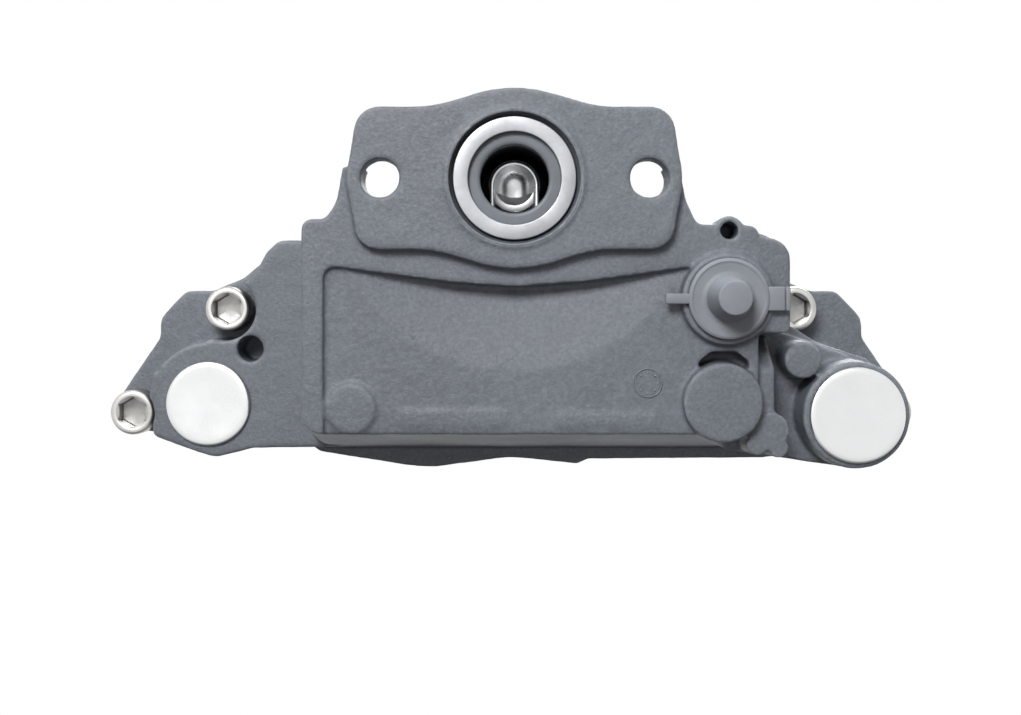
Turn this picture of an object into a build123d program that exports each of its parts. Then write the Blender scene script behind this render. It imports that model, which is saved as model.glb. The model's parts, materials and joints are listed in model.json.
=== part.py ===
from build123d import *
from math import acos, atan2, cos, degrees, hypot, pi, radians, sin, sqrt, tan
import os

# Floating air disc brake caliper for a heavy vehicle, in millimetres.
# +Z is away from the axle, +Y is towards the vehicle's wheel, and +X is to the right
# when the caliper is seen from its actuator side. The origin is in the middle of the
# carrier's foot, in the face that meets the axle.

# ---- driving dimensions -------------------------------------------------------------
CARRIER_DEPTH = 165.0      # carrier's inboard face; a "depth" is measured along +Y from the flange face
FOOT_HALF = 14.25          # half of the carrier foot's depth
FACE_Y = -(CARRIER_DEPTH + FOOT_HALF)
DATUM_Z = 70.0             # height of the line that outlines are drawn from

STUD_SPACING = 120.65      # actuator stud spacing, 4.75 in
STUD_HOLE_R = 8.75
PORT_X = 1.6               # the actuator port's centre
PORT_H = 64.5
FLANGE_THICK = 14.0
FLANGE_STEP = 6.0          # how far the flange stands proud of the shoulder
PILOT_R = 27.75            # outside of the machined seat ring
PILOT_DEPTH = 3.0          # floor of the groove round the seat ring
LIP_OUTER_R = 31.2         # raised lip round the groove
LIP_INNER_R = 29.5
LIP_HEIGHT = 1.2
SEAT_RING_DEPTH = 0.9
SEAT_INNER_R = 20.9
PORT_R = 15.55

PIN_X = 159.0              # guide pins, left and right of the middle
PIN_H = -42.8
SLEEVE_R = 15.0
SLEEVE_BORE_R = 8.25
SLEEVE_HEAD_R = 12.4
SLEEVE_HEAD_DEPTH = 17.0
BUSH_OUTER_R = 18.0
SEAL_R = 21.5
RUN_GAP = 0.05             # radial running clearance
LONG_BOSS_DEPTH = 18.0
SHORT_LUG_DEPTH = 110.0
LONG_SLEEVE_DEPTH = 30.0
SHORT_SLEEVE_DEPTH = 119.0
CAP_R = 22.0
CAP_THICK = 3.0
CAP_SKIRT = 7.0
CAP_WALL = 1.6
BOSS_R = 24.6

BOLT_R = 8.0               # M16 bolts between housing and bridge
BOLT_HEAD_R = 12.0
BOLT_HEAD_H = 16.0
BOLT_HEX = 14.0            # across flats
UPPER_BOLT = (151.3, 7.0)
LOWER_BOLT = (202.0, -48.2)
EAR_DEPTH = 136.0          # bolt seats
JOINT_DEPTH = 160.0        # plane where housing and bridge meet
BOLT_LENGTH = 56.0         # under the head

SHOULDER_DEPTH = 6.0
PANEL_DEPTH = 9.0
SCOOP_R = 86.5             # room for the actuator's round body
SCOOP_SLOPE = 0.21

PIVOT_H = -14.0            # operating lever's pivot, tappets and gears share this height
PIVOT_DEPTH = 66.0
LEVER_SHAFT_R = 15.0
LEVER_HALF = 54.0
LEVER_CUP_DEPTH = 38.0
ROLLER_FORWARD = 6.0       # roller's place from the pivot, along +Y and up
ROLLER_UP = 7.0
ROLLER_R = 7.0
ROLLER_GAP = 0.35
SHELL_THICK = 2.5
SADDLE_X = 37.0            # middle of each bearing of the lever's shaft
CROSSHEAD_DEPTH = PIVOT_DEPTH + ROLLER_FORWARD + ROLLER_R + ROLLER_GAP
CROSSHEAD_BACK = 99.5
SPRING_AT = (30.0, 26.0)   # return springs, left and right
SPRING_SEAT = 4.0
SPRING_R = 5.6
SPRING_WIRE_R = 0.9

MODULE = 2.0
GEAR_TEETH = 30
PINION_TEETH = 15
TAPPET_X = MODULE * GEAR_TEETH          # equal gears: the idler's centre is at X = 0
GEAR_THICK = 11.0
GEAR_DEPTH = 101.0
GEAR_SLEEVE_R = 17.0
SPINDLE_R = 12.0
IDLER_PIN_R = 5.0
TAPPET_HEAD_R = 26.0
TAPPET_HEAD_DEPTH = 155.5
TAPPET_GAP = 2.3           # between a tappet and the inner pad with the lever at rest
STEM_X = 97.8
STEM_R = 6.0
STEM_BUSH_R = 9.0
STEM_BEARING_R = 19.5
CAP_DISC_R = 18.3          # the rubber cap's thin rim
CAP_SEAT_DEPTH = 3.9       # collar face that the adjuster's rubber cap sits on
CAP_SEAT_R = 20.6
CAP_RECESS_R = 17.2
EAR_HOLE = (98.6, 41.3)    # tapped hole for the wear sensor's bracket
EAR_HOLE_R = 3.9
EAR_HOLE_LENGTH = 18.0
LARGE_PAD = (95.8, -36.4)  # plain round pad on the box, below the adjuster
COVER_DEPTH = 144.0
COVER_THICK = 6.0
COVER_SCREW_R = 2.6
BOOT_R = 24.0

DISC_CENTRE_H = -185.0
DISC_R = 215.0
PAD_HALF = 105.2
PAD_TOP = 31.0
PAD_BOTTOM = -57.0
BACKPLATE = 9.0
FRICTION = 19.5
LUG_X = 34.0               # lugs on top of a backing plate
SLOT_FRONT = 195.0         # the disc's slot starts at this depth
OUTER_PAD_BACK = 270.0
BEAM_DEPTH = 270.6
BEAM_THICK = 40.0
STRAP_TOP = 58.0
STRAP_THICK = 2.0
PAD_TRAVEL = 18.0          # wear travel of each pad, and of the caliper on its pins
STRAP_HALF = 14.0
RETAINER_DEPTH = BEAM_DEPTH + 14.0
RETAINER_R = 4.0           # M8
COLUMN_IN = 106.0
COLUMN_OUT = 137.0
FOOT_H = -70.0
FOOT_HOLE_R = 7.0          # M16 tapped
FOOT_HOLES = (119.0, 176.0)
ARM_GAP = 16.5             # bridge arm's inner side, from the pin centre
CARRIER_EDGE = 15.1

STEM_H = PIVOT_H + sqrt((MODULE * (GEAR_TEETH + PINION_TEETH) / 2) ** 2 - (STEM_X - TAPPET_X) ** 2)
SIDES = (-1, 1)


# ---- helpers ------------------------------------------------------------------------
def at_depth(depth):
    """Sketch plane that faces the actuator side; its local x is X and its local y is height."""
    return Plane(origin=(0, FACE_Y + depth, DATUM_Z), x_dir=(1, 0, 0), z_dir=(0, -1, 0))


def prism(face, front, back, draft=0):
    """Solid between two depths; with a draft it gets smaller towards the front."""
    return extrude(at_depth(back) * face, amount=back - front, taper=draft)


def spot(x, h, radius):
    return Pos(x, h) * Circle(radius)


def rod(x, h, radius, front, back):
    return prism(spot(x, h, radius), front, back)


def tube(x, h, outer, inner, front, back):
    return prism(spot(x, h, outer) - spot(x, h, inner), front, back)


def cone(x, h, front_r, back_r, front, back):
    """Round boss whose radius changes from front_r to back_r."""
    shape = Cone(back_r, front_r, back - front, align=(Align.CENTER, Align.CENTER, Align.MIN))
    return at_depth(back) * Pos(x, h) * shape


def corner_radius(points, index, wanted):
    """The wanted corner radius, or less where the sides beside the corner are too short for it."""
    before, corner, after = points[index - 1], points[index], points[(index + 1) % len(points)]
    arm_in = (corner[0] - before[0], corner[1] - before[1])
    arm_out = (after[0] - corner[0], after[1] - corner[1])
    cross = arm_in[0] * arm_out[1] - arm_in[1] * arm_out[0]
    dot = arm_in[0] * arm_out[0] + arm_in[1] * arm_out[1]
    turn = abs(atan2(cross, dot))
    if wanted == 0 or turn < radians(0.5):
        return 0
    return min(wanted, 0.47 * min(hypot(*arm_in), hypot(*arm_out)) / tan(turn / 2))


def outline(points, radius=0):
    """Closed face through the points, with rounded corners where a radius is given."""
    wanted = radius if isinstance(radius, (list, tuple)) else [radius] * len(points)
    radii = [corner_radius(points, index, wanted[index]) for index in range(len(points))]
    with BuildSketch() as sketch:
        with BuildLine():
            FilletPolyline(*points, radius=radii, close=True)
        make_face()
    return sketch.sketch


def box(x0, x1, front, back, h0, h1):
    return prism(outline([(x0, h0), (x1, h0), (x1, h1), (x0, h1)]), front, back)


def cross_rod(x0, x1, depth, h, radius):
    """Rod along X."""
    place = Plane(origin=(x0, FACE_Y + depth, DATUM_Z + h), x_dir=(0, 1, 0), z_dir=(1, 0, 0))
    return extrude(place * Circle(radius), amount=x1 - x0)


def side_plate(profile, x0, x1):
    """Solid between two X values from a face drawn in depth and height."""
    place = Plane(origin=(x0, FACE_Y, DATUM_Z), x_dir=(0, 1, 0), z_dir=(1, 0, 0))
    return extrude(place * profile, amount=x1 - x0)


def hexagon(across_flats):
    return RegularPolygon(across_flats / sqrt(3), 6)


def mirrored(points):
    return [(-x, h) for x, h in reversed(points)]


def gear_face(teeth, phase, bore):
    """Involute gear of MODULE with a little backlash; phase turns one tooth's centre, in degrees."""
    pressure = radians(20)
    pitch_r = MODULE * teeth / 2
    base_r = pitch_r * cos(pressure)
    tip_r = pitch_r + 0.9 * MODULE
    root_r = pitch_r - 1.2 * MODULE
    backlash = 0.3 / pitch_r / 2
    half = pi / (2 * teeth) - backlash + tan(pressure) - pressure
    flank = []
    for step in range(5):
        r = base_r + (tip_r - base_r) * step / 4
        roll = acos(min(1.0, base_r / r))
        flank.append((r, half - (tan(roll) - roll)))
    if root_r < base_r:
        flank.insert(0, (root_r, flank[0][1]))
    points = []
    for tooth in range(teeth):
        centre = radians(phase) + 2 * pi * tooth / teeth
        for r, angle in flank:
            points.append((r * cos(centre - angle), r * sin(centre - angle)))
        for r, angle in reversed(flank):
            points.append((r * cos(centre + angle), r * sin(centre + angle)))
    face = make_face(Polyline(*points, close=True))
    return face - Circle(bore)


# ---- outlines shared by several pieces ----------------------------------------------
def flange_outline():
    half = [(36.7, 32.0), (70.0, 32.0), (75.7, 0.0), (70.0, -32.0), (36.7, -32.0)]
    bend = [60, 11, 30, 11, 60]
    points = [(0, 43.2)] + half + [(0, -43.2)] + mirrored(half)
    radii = [60] + bend + [60] + bend
    return Pos(PORT_X, PORT_H) * outline(points, radii)


def ear_points():
    """Right-hand edge of the plate that the bridge bolts go through, from the top down."""
    return [
        (120, 43.4), (134, 33.8), (145.5, 24), (162.7, 16.9), (177, 16.9),
        (191, 2.1), (191, -8), (214.5, -43), (212, -58), (192, -60), (175, -65),
    ]


EAR_BEND = [8, 6, 12, 6, 6, 9, 6, 10, 9, 10, 10]


def rear_flange_outline():
    right = ear_points()
    bottom = [(156, -71.4), (138, -73.8), (42, -74.6), (36, -77.3), (0, -73.4)]
    bottom += [(-46, -79.5), (-104, -70.5), (-110, -66), (-136, -66.3), (-156, -71.4)]
    radii = EAR_BEND + [10, 3, 2, 2, 60, 60, 4, 6, 10, 10] + EAR_BEND[::-1]
    return outline(right + bottom + mirrored(right), radii)


def arm_outline(side):
    """Section of a bridge arm: the ear's outer edge, and an inner edge clear of the guide pin."""
    run = (LOWER_BOLT[0] - UPPER_BOLT[0], LOWER_BOLT[1] - UPPER_BOLT[1])
    length = hypot(*run)
    along = (run[0] / length, run[1] / length)
    across = (-along[1], along[0])
    foot = (PIN_X + ARM_GAP * across[0], PIN_H + ARM_GAP * across[1])
    low = (foot[0] + 31 * along[0], foot[1] + 31 * along[1])
    high = (foot[0] - 40 * along[0], foot[1] - 40 * along[1])
    points = [(139.5, 26), (162.7, 16.4), (176.5, 16.4), (190.4, 2), (190.4, -8)]
    points += [(213.5, -43), (211.5, -57.5), low, high, (139.5, 0)]
    face = outline(points, [5, 6, 6, 9, 6, 10, 9, 4, 4, 4])
    return face if side > 0 else mirror(face, about=Plane.YZ)


# ---- housing ------------------------------------------------------------------------
def housing_box():
    """Main box: front and rear outlines joined by drafted walls."""
    front = outline([(-94.7, -50.5), (-94.7, 46.7), (112, 43.5), (112, -50.5)], [9, 5, 5, 5])
    back = outline([(-106, -68), (-106, 50), (122, 48), (122, -68)], [9, 5, 5, 5])
    return loft([at_depth(SHOULDER_DEPTH) * front, at_depth(EAR_DEPTH) * back])


def shoulder():
    """Upper front: necks into the flange, and carries the small ear at the right."""
    points = [(-94.7, 15), (-94.7, 46.6), (-84, 46.6), (-79, 54), (-76, 70), (76, 70)]
    points += [(79, 55), (84, 44), (91, 44), (108, 39.5), (126.2, 36.5), (126.2, -5), (80, -5)]
    neck = outline(points, [0, 6, 5, 12, 0, 0, 14, 6, 3, 8, 14, 3, 0])
    ear = spot(*EAR_HOLE, 6.7)
    return prism(neck, SHOULDER_DEPTH, 24) + prism(ear, SHOULDER_DEPTH, SHOULDER_DEPTH + EAR_HOLE_LENGTH + 4)


def port_neck():
    """Hollow arm from the flange down to the box, round the lever's upper half."""
    neck = cone(PORT_X, PORT_H, 41, 36, FLANGE_STEP, 62)
    back = cone(PORT_X, PORT_H, 36, 24, 62, 100)
    web = prism(outline([(-48, 30), (-36, 66), (39, 66), (51, 30)], [0, 8, 8, 0]), 20, 98, 3)
    return neck + back + web


def long_boss():
    """Boss of the long guide sleeve, with its gusset back to the box."""
    boss = cone(PIN_X, PIN_H, BOSS_R, BOSS_R + 4.5, LONG_BOSS_DEPTH, 136)
    web = outline([(100, -4), (126, -4), (141, -9), (160, -16), (160, -69), (139, -66), (100, -60)], 0)
    gusset = outline([(118, 2), (134, -2), (146, -9.5), (170, -17.5), (179, -24), (187, -38), (160, -60)], 0)
    small = cone(134.5, -17.4, 8.6, 10.4, 18, 90)
    lobes = cone(118.2, -49.5, 8.4, 10, 11, 80) + cone(112.3, -55.5, 5.2, 6, 11, 70)
    lobes += cone(121.8, -57.2, 4.6, 6, 11, 70)
    slope = outline([(13, -21), (13, -60), (40, -60), (40, -4)], 4)
    haunch = side_plate(slope, 108, 120.5)
    return boss + prism(web, 37, EAR_DEPTH) + prism(gusset, 44, EAR_DEPTH) + small + lobes + haunch


def lug_outline():
    points = [(-90, 43), (-122, 43), (-128.5, 37), (-134, 27), (-141, 20), (-146, -8), (-159, -9.3)]
    points += [(-188.6, -27), (-188.8, -59.6), (-175, -65), (-156, -71.4), (-136, -66.3), (-90, -65.7)]
    plate = outline(points, [0, 7, 7, 5, 0, 0, 0, 0, 4, 10, 12, 10, 0])
    plate += spot(-PIN_X, PIN_H, 32.0) & Pos(-PIN_X, PIN_H + 20) * Rectangle(80, 62)
    plate -= spot(-UPPER_BOLT[0], UPPER_BOLT[1], 17.0)
    return plate - spot(-LOWER_BOLT[0], LOWER_BOLT[1], 14.2)


def short_lug():
    lug = prism(lug_outline(), SHORT_LUG_DEPTH, JOINT_DEPTH)
    return lug - rod(-137.3, -14.1, 6.8, SHORT_LUG_DEPTH - 1, SHORT_LUG_DEPTH + 22)


def long_lug():
    outer = outline([(104, -66), (104, 30), (146, 30), (175, -8), (192, -26), (192, -60), (156, -71)], 0)
    shelf = outline([(116, 30), (116, 50.6), (129, 50.6), (142.5, 46), (146, 30)], [0, 4, 3, 6, 0])
    lug = prism(outer & mirror(lug_outline(), about=Plane.YZ), 122, JOINT_DEPTH)
    return lug + prism(shelf, EAR_DEPTH, JOINT_DEPTH)


def adjuster_block():
    """Thicker corner behind the adjuster cap."""
    corner = outline([(76, -6), (76, 41), (128, 41), (128, -6)], [3, 3, 15, 3])
    return prism(corner, 22, 112, 2)


def front_cuts():
    """Recessed panel, its round scoop under the ridge, and the pockets round the adjuster."""
    ridge = [(-84.8, -60), (-84.8, 25.6), (-29, 18.3), (1.6, 16), (33, 18.3), (84, 25.2), (112.6, 25.2)]
    panel = outline(ridge + [(112.6, -60)], [0, 5, 0, 40, 0, 0, 0, 0])
    cut = prism(panel, -5, PANEL_DEPTH)
    scoop = cone(PORT_X, PORT_H, SCOOP_R, 30, PANEL_DEPTH, PANEL_DEPTH + (SCOOP_R - 30) * SCOOP_SLOPE)
    cut += scoop & box(-84.8, 84, 0, 30, -60, 16.5)
    left = outline([(-76, 24.4), (-29, 18.3), (1.6, 16), (33, 18.3), (80, 24.4), (80, 10), (-76, 10)])
    cut += scoop & prism(left, 0, 30)
    slot = outline([(85, -24), (85, -18), (91, -13.4), (102, -13.4), (108, -18), (108, -24)], 3)
    return cut + prism(slot, -5, PANEL_DEPTH + 10)


def adjuster_collar():
    return cone(STEM_X, STEM_H, CAP_SEAT_R, CAP_SEAT_R + 2, CAP_SEAT_DEPTH, 16)


def adjuster_recess():
    return rod(STEM_X, STEM_H, CAP_RECESS_R, -5, 21)


def bosses_on_panel():
    disc = cone(-72.6, -39.2, 11.2, 12.4, PANEL_DEPTH - 1.6, PANEL_DEPTH + 2)
    large = cone(*LARGE_PAD, 18.0, 19.0, PANEL_DEPTH - 4.5, 30)
    plates = box(-50, -2, PANEL_DEPTH - 0.6, PANEL_DEPTH + 1, -47.5, -40)
    plates += box(20.5, 66.5, PANEL_DEPTH - 0.6, PANEL_DEPTH + 1, -47.5, -41.5)
    return disc + large + plates


def inner_cavity():
    """Room for the lever, crosshead and gears, open at the rear."""
    gears = outline([(-94, -48), (-94, 21), (-30, 37), (30, 37), (94, 21), (94, -48)], [18, 16, 8, 8, 16, 18])
    room = prism(gears, CROSSHEAD_DEPTH - 1, JOINT_DEPTH + 1)
    for x, h in cover_screws_at():
        room -= rod(x, h, 7.0, COVER_DEPTH - 16, COVER_DEPTH)
    lever = outline([(-58, -38), (-58, 10), (58, 10), (58, -38)], 8)
    room += prism(lever, 30, 90)
    slot = outline([(-15.5, 0), (-15.5, 72), (18.7, 72), (18.7, 0)], 0)
    room += prism(slot, 30, 92) + rod(PORT_X, PORT_H, 18.4, 8, 92)
    room += rod(STEM_X, STEM_H, STEM_BEARING_R, 84, JOINT_DEPTH - 8)
    edge = [(-98, -52), (-98, 26), (-32, 40), (32, 40), (98, 26), (98, -52)]
    recess = outline(edge, [20, 18, 8, 8, 18, 20])
    return room + prism(recess, COVER_DEPTH, JOINT_DEPTH + 1)


def bearing_saddles():
    """Half-round seats for the lever's bearing shells."""
    seat_r = LEVER_SHAFT_R + RUN_GAP + SHELL_THICK
    blocks = None
    for side in SIDES:
        middle = side * SADDLE_X
        block = box(middle - 11, middle + 11, 29, PIVOT_DEPTH - 1, -37, 9)
        block -= cross_rod(middle - 12, middle + 12, PIVOT_DEPTH, PIVOT_H, seat_r)
        blocks = block if blocks is None else blocks + block
    return blocks


def pin_bores():
    cuts = rod(PIN_X, PIN_H, BUSH_OUTER_R, LONG_BOSS_DEPTH - 1, JOINT_DEPTH + 1)
    cuts += rod(-PIN_X, PIN_H, BUSH_OUTER_R, SHORT_LUG_DEPTH - 1, JOINT_DEPTH + 1)
    for side in SIDES:
        cuts += rod(side * PIN_X, PIN_H, SEAL_R, JOINT_DEPTH - 8, JOINT_DEPTH + 1)
    return cuts


def bolt_places():
    return [(side * x, h) for side in SIDES for x, h in (UPPER_BOLT, LOWER_BOLT)]


def housing():
    body = housing_box() + shoulder() + port_neck() + adjuster_block()
    body += prism(rear_flange_outline(), EAR_DEPTH, JOINT_DEPTH)
    body += long_boss() + long_lug() + short_lug()
    body -= front_cuts()
    body += prism(flange_outline(), 0, FLANGE_THICK)
    body += bosses_on_panel() + adjuster_collar()
    body -= adjuster_recess()
    body += tube(PORT_X, PORT_H, LIP_OUTER_R, LIP_INNER_R, -LIP_HEIGHT, PILOT_DEPTH)
    body -= rod(PORT_X, PORT_H, LIP_INNER_R, -5, PILOT_DEPTH)
    for side in SIDES:
        body -= rod(PORT_X + side * STUD_SPACING / 2, PORT_H, STUD_HOLE_R, -5, 60)
    body -= rod(PORT_X, PORT_H, PILOT_R, -5, 12)
    body -= inner_cavity()
    body += bearing_saddles() & body_envelope()
    body -= pin_bores()
    for x, h in bolt_places():
        body -= rod(x, h, BOLT_R + 0.5, EAR_DEPTH - 30, JOINT_DEPTH + 1)
        body -= rod(x, h, BOLT_HEAD_R + 1.6, 60, EAR_DEPTH)
    body -= rod(*EAR_HOLE, EAR_HOLE_R, 0, SHOULDER_DEPTH + EAR_HOLE_LENGTH)
    body -= rod(STEM_X, STEM_H, STEM_BUSH_R, 10, 100)
    for x, h in cover_screws_at():
        body -= rod(x, h, COVER_SCREW_R, COVER_DEPTH - 12, COVER_DEPTH + 1)
    return body


def body_envelope():
    return box(-60, 60, 25, PIVOT_DEPTH, -40, 12)


def cover_screws_at():
    return [(-88, 16), (-88, -42), (-30, -45), (30, -45), (88, -42), (12, 32), (-12, 32)]


# ---- housing fittings ---------------------------------------------------------------
def port_rings():
    """Machined seat ring of the port, and the shield inside it."""
    seat = tube(PORT_X, PORT_H, PILOT_R, SEAT_INNER_R, SEAT_RING_DEPTH, 12)
    inner = tube(PORT_X, PORT_H, SEAT_INNER_R, PORT_R, PILOT_DEPTH + 1.2, 11)
    return seat, inner


def end_cap(side, face_depth):
    """Pressed cup that closes a guide-pin bore."""
    cap = cone(side * PIN_X, PIN_H, CAP_R - 1.2, CAP_R, face_depth, face_depth + 1.2)
    cap += rod(side * PIN_X, PIN_H, CAP_R, face_depth + 1.2, face_depth + CAP_THICK)
    skirt_end = face_depth + CAP_THICK + CAP_SKIRT
    return cap + tube(side * PIN_X, PIN_H, BUSH_OUTER_R, BUSH_OUTER_R - CAP_WALL, face_depth + 1, skirt_end)


def guide_sleeve(side, front):
    x = side * PIN_X
    sleeve = rod(x, PIN_H, SLEEVE_R, front, CARRIER_DEPTH)
    sleeve -= rod(x, PIN_H, SLEEVE_BORE_R, front - 1, CARRIER_DEPTH + 1)
    return sleeve - rod(x, PIN_H, SLEEVE_HEAD_R, front - 1, front + SLEEVE_HEAD_DEPTH)


def socket_screw(x, h, seat, radius, length, head_r, head_h, hexagon_flats):
    """Socket-head cap screw with its head on the actuator side of its seat."""
    screw = rod(x, h, radius, seat, seat + length)
    screw += cone(x, h, head_r - 0.8, head_r, seat - head_h, seat - head_h + 0.8)
    screw += rod(x, h, head_r, seat - head_h + 0.8, seat)
    socket = at_depth(seat - head_h / 2) * Pos(x, h) * hexagon(hexagon_flats)
    return screw - extrude(socket, amount=head_h)


def sleeve_bolts():
    parts = []
    for side, front in ((-1, SHORT_SLEEVE_DEPTH), (1, LONG_SLEEVE_DEPTH)):
        seat = front + SLEEVE_HEAD_DEPTH
        length = CARRIER_DEPTH + 24 - seat
        parts.append(socket_screw(side * PIN_X, PIN_H, seat, BOLT_R, length, BOLT_HEAD_R, 15.5, BOLT_HEX))
    return Compound(children=parts)


def long_bushes():
    near = tube(PIN_X, PIN_H, BUSH_OUTER_R, SLEEVE_R + RUN_GAP, 34, 62)
    far = tube(PIN_X, PIN_H, BUSH_OUTER_R, SLEEVE_R + RUN_GAP, 122, 150)
    return Compound(children=[near, far])


def short_bush():
    return tube(-PIN_X, PIN_H, BUSH_OUTER_R, SLEEVE_R + RUN_GAP, 120, 150)


def pin_seal(side):
    """Rubber scraper in the lug's rear recess, with a lip that runs on the guide sleeve."""
    x = side * PIN_X
    back = JOINT_DEPTH - 0.4
    seal = tube(x, PIN_H, SEAL_R, 18.4, JOINT_DEPTH - 8, back)
    return seal + tube(x, PIN_H, SEAL_R, SLEEVE_R + RUN_GAP, back - 2.4, back)


def bridge_bolts():
    bolts = [
        socket_screw(x, h, EAR_DEPTH, BOLT_R, BOLT_LENGTH, BOLT_HEAD_R, BOLT_HEAD_H, BOLT_HEX)
        for x, h in bolt_places()
    ]
    return Compound(children=bolts)


# ---- bridge and carrier -------------------------------------------------------------
def bridge():
    body = None
    for side in SIDES:
        arm = prism(arm_outline(side), JOINT_DEPTH, BEAM_DEPTH + BEAM_THICK)
        body = arm if body is None else body + arm
    points = [(212, -44), (190, 2), (176, 16), (128, 38), (70, 50), (-70, 50), (-128, 38), (-176, 16)]
    points += [(-190, 2), (-212, -44), (-202, -56), (-150, -46)]
    points += [(-112, -50), (112, -50), (150, -46), (202, -56)]
    beam = outline(points, [6, 10, 10, 14, 14, 14, 14, 10, 10, 6, 6, 14, 14, 14, 14, 6])
    body += prism(beam, BEAM_DEPTH, BEAM_DEPTH + BEAM_THICK - 8)
    rib = outline([(196, -38), (168, 8), (120, 30), (68, 40), (-68, 40), (-120, 30), (-168, 8), (-196, -38)]
                  + [(-150, -30), (-60, -30), (60, -30), (150, -30)], 8)
    body += prism(rib, BEAM_DEPTH, BEAM_DEPTH + BEAM_THICK)
    body += box(-16, 16, BEAM_DEPTH, BEAM_DEPTH + 26, 40, STRAP_TOP - STRAP_THICK)
    for side in SIDES:
        edges = sorted((side * (COLUMN_IN - 2.5), side * 139.5))
        body -= box(edges[0], edges[1], BEAM_DEPTH - 1, BEAM_DEPTH + PAD_TRAVEL + 1, -75, 34)
    body -= rod(0, -8, 17, BEAM_DEPTH + 24, BEAM_DEPTH + BEAM_THICK + 1)
    for x, h in bolt_places():
        body -= rod(x, h, BOLT_R, JOINT_DEPTH - 1, EAR_DEPTH + BOLT_LENGTH + 6)
    body -= upright_rod(0, RETAINER_DEPTH, RETAINER_R, 38, 60)
    return body


def upright_rod(x, depth, radius, low, high):
    """Rod along Z."""
    place = Plane(origin=(x, FACE_Y + depth, DATUM_Z + low), x_dir=(1, 0, 0), z_dir=(0, 0, 1))
    return extrude(place * Circle(radius), amount=high - low)


def column_outline(side):
    """Inboard column of the carrier, with its foot; its upper outer edge follows the bridge arm."""
    run = (LOWER_BOLT[0] - UPPER_BOLT[0], LOWER_BOLT[1] - UPPER_BOLT[1])
    length = hypot(*run)
    along = (run[0] / length, run[1] / length)
    across = (-along[1], along[0])
    edge = (PIN_X + CARRIER_EDGE * across[0], PIN_H + CARRIER_EDGE * across[1])
    low = (edge[0] + 12 * along[0], edge[1] + 12 * along[1])
    high = (COLUMN_OUT, edge[1] + (COLUMN_OUT - edge[0]) / along[0] * along[1])
    points = [(COLUMN_IN, FOOT_H), (188, FOOT_H), (188, FOOT_H + 13), (178, FOOT_H + 16), low, high]
    points += [(COLUMN_OUT, 8), (COLUMN_IN, 26)]
    face = outline(points, [0, 5, 3, 3, 3, 3, 0, 0])
    return face if side > 0 else mirror(face, about=Plane.YZ)


def crossing_arm(side):
    """Arc of the carrier over the disc's rim, on one side of the pads."""
    ring = Pos(0, DISC_CENTRE_H) * (Circle(DISC_R + 23) - Circle(DISC_R + 4))
    band = outline([(COLUMN_IN, -40), (COLUMN_OUT, -40), (COLUMN_OUT, 60), (COLUMN_IN, 60)])
    face = ring & band
    return face if side > 0 else mirror(face, about=Plane.YZ)


def carrier():
    pad_front = CARRIER_DEPTH
    inboard_back = pad_front + BACKPLATE + FRICTION
    outboard_front = OUTER_PAD_BACK - BACKPLATE - FRICTION
    body = box(-COLUMN_IN - 2, COLUMN_IN + 2, pad_front, inboard_back, FOOT_H, PAD_BOTTOM - 0.5)
    body += box(-COLUMN_IN - 2, COLUMN_IN + 2, outboard_front, OUTER_PAD_BACK, FOOT_H + 1, PAD_BOTTOM - 0.5)
    for side in SIDES:
        body += prism(column_outline(side), pad_front, inboard_back)
        body += prism(crossing_arm(side), pad_front, OUTER_PAD_BACK)
        corners = [(COLUMN_IN, FOOT_H + 1), (132, FOOT_H + 1), (COLUMN_OUT, -50)]
        corners += [(COLUMN_OUT, 4), (COLUMN_IN, 22)]
        post = outline(corners, [0, 8, 8, 0, 0])
        post = post if side > 0 else mirror(post, about=Plane.YZ)
        body += prism(post, outboard_front, OUTER_PAD_BACK)
    for side in SIDES:
        body -= rod(side * PIN_X, PIN_H, BOLT_R, pad_front - 1, inboard_back + 1)
        body -= upright_rod(side * FOOT_HOLES[0], pad_front + FOOT_HALF, FOOT_HOLE_R, FOOT_H - 1, FOOT_H + 26)
        body -= upright_rod(side * FOOT_HOLES[1], pad_front + FOOT_HALF, FOOT_HOLE_R, FOOT_H - 1, FOOT_H + 20)
    return body


# ---- pads ---------------------------------------------------------------------------
def pad_outline(shrink):
    half = PAD_HALF - shrink
    low = PAD_BOTTOM + shrink
    points = [(-half, low), (half, low), (half, 10 - shrink), (half - 14, PAD_TOP - shrink)]
    points += [(14 - half, PAD_TOP - shrink), (-half, 10 - shrink)]
    return outline(points, [3, 3, 6, 10, 10, 6])


def backing_plate(front):
    plate = prism(pad_outline(0), front, front + BACKPLATE)
    for side in SIDES:
        plate += box(side * LUG_X - 9, side * LUG_X + 9, front, front + BACKPLATE, PAD_TOP - 3, PAD_TOP + 6)
    return plate


def friction_block(front):
    block = prism(pad_outline(3.5), front, front + FRICTION)
    if front < SLOT_FRONT:
        groove = box(-2.5, 2.5, front + 3, front + FRICTION + 1, PAD_BOTTOM, PAD_TOP)
    else:
        groove = box(-2.5, 2.5, front - 1, front + FRICTION - 3, PAD_BOTTOM, PAD_TOP)
    return block - groove


def pad_spring(plate_front, front, back):
    """Bowed leaf on top of a backing plate, with windows for the plate's two lugs."""
    low = PAD_TOP + 0.3
    profile = [(-58, low + 1.0), (-46, low), (-14, low), (0, low + 5.6)]
    profile += [(14, low), (46, low), (58, low + 1.0)]
    top = [(x, h + 1.3) for x, h in reversed(profile)]
    leaf = prism(outline(profile + top), front, back)
    for side in SIDES:
        window = (side * LUG_X - 9.5, side * LUG_X + 9.5)
        behind = plate_front + BACKPLATE + 0.4
        leaf -= box(window[0], window[1], plate_front - 0.4, behind, PAD_TOP, PAD_TOP + 9)
    return leaf


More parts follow.
